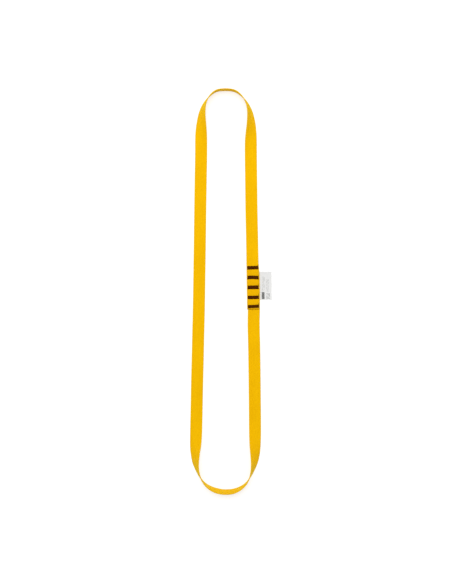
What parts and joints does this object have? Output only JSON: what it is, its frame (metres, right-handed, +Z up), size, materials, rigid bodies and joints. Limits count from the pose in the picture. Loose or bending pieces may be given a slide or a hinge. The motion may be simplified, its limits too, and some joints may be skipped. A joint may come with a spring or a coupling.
{
  "type": "sewn webbing sling",
  "caption": "Endless sling of flat woven webbing, its ends lapped and bar-tacked together, with a small fabric label sewn under the lap.",
  "frame": {"origin": "on the surface that the sling lies on, under the middle of its overall box, label included", "axes": "+Y along the loop towards its narrower end, +X towards the leg with the lap seam, +Z up from the surface"},
  "size_m": [0.1184, 0.5844, 0.0175],
  "materials": {
    "webbing": "woven polyester, golden yellow, faint satin sheen",
    "thread": "dark brown sewing thread in dense bars",
    "label": "white satin label cloth with grey marks"
  },
  "bodies": {
    "sling": {"webbing_tape": "webbing", "needle_thread_1": "thread", "needle_thread_2": "thread", "needle_thread_3": "thread", "needle_thread_4": "thread", "needle_thread_5": "thread", "bobbin_thread_1": "thread", "bobbin_thread_2": "thread", "bobbin_thread_3": "thread", "bobbin_thread_4": "thread", "bobbin_thread_5": "thread", "label_sewn_end": "label"},
    "label_flap": {"label_flap": "label"}
  },
  "joints": [
    {"name": "label_fold", "type": "hinge", "parent": "sling", "child": "label_flap", "pos_m": [0.04276, 0.00844, 0.00085], "axis": [0, -1, 0], "range_deg": [-90, 90]}
  ]
}
